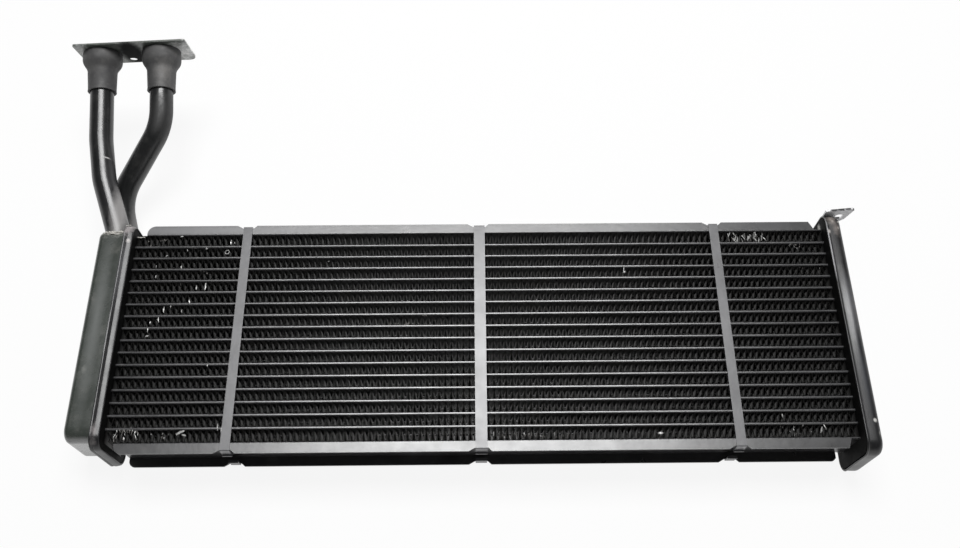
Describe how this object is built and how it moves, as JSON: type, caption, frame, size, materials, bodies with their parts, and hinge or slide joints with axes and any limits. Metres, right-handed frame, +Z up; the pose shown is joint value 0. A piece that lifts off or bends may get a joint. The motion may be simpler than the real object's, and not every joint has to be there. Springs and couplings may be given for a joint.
{
  "type": "heater core",
  "caption": "Fin-and-tube heater core with straps, side plates and bent inlet and outlet pipes that end in a flange plate.",
  "frame": {"origin": "bottom centre of the bounding box, the core lying on its back", "axes": "+X along the tubes, away from the pipe end; +Y across the core, towards the flange plate; +Z up, out of the core's front face"},
  "size_m": [0.637, 0.3546, 0.0992],
  "materials": {
    "fin_black": "thin matt black coat",
    "tube_black": "semi-gloss black coat",
    "frame_black": "gloss black coat",
    "strap_coat": "satin dark grey coat",
    "tank_black": "gloss black coat",
    "pipe_black": "gloss black coat",
    "plate_black": "semi-gloss black coat",
    "bracket_coat": "satin grey coat",
    "seal_rubber": "matt",
    "bare_sheet": "satin"
  },
  "bodies": {
    "root": {"tubes_row_01": "tube_black", "tubes_row_02": "tube_black", "tubes_row_03": "tube_black", "tubes_row_04": "tube_black", "tubes_row_05": "tube_black", "tubes_row_06": "tube_black", "tubes_row_07": "tube_black", "tubes_row_08": "tube_black", "tubes_row_09": "tube_black", "tubes_row_10": "tube_black", "tubes_row_11": "tube_black", "tubes_row_12": "tube_black", "tubes_row_13": "tube_black", "tubes_row_14": "tube_black", "tubes_row_15": "tube_black", "tubes_row_16": "tube_black", "fin_row_01": "fin_black", "fin_row_02": "fin_black", "fin_row_03": "fin_black", "fin_row_04": "fin_black", "fin_row_05": "fin_black", "fin_row_06": "fin_black", "fin_row_07": "fin_black", "fin_row_08": "fin_black", "fin_row_09": "fin_black", "fin_row_10": "fin_black", "fin_row_11": "fin_black", "fin_row_12": "fin_black", "fin_row_13": "fin_black", "fin_row_14": "fin_black", "fin_row_15": "fin_black", "fin_row_16": "fin_black", "fin_row_17": "fin_black", "header_plate_left": "frame_black", "header_plate_right": "frame_black", "tank_left": "tank_black", "tank_partition": "bare_sheet", "tank_right": "frame_black", "side_plate_top": "frame_black", "side_plate_bottom": "frame_black", "front_strap_left": "strap_coat", "rear_strap_left": "strap_coat", "front_strap_middle": "strap_coat", "rear_strap_middle": "strap_coat", "front_strap_right": "strap_coat", "rear_strap_right": "strap_coat", "pipe_front": "pipe_black", "pipe_rear": "pipe_black", "seal_cup_front_pipe": "seal_rubber", "seal_cup_rear_pipe": "seal_rubber", "pipe_flange_plate": "plate_black", "mounting_bracket": "bracket_coat"}
  },
  "joints": []
}
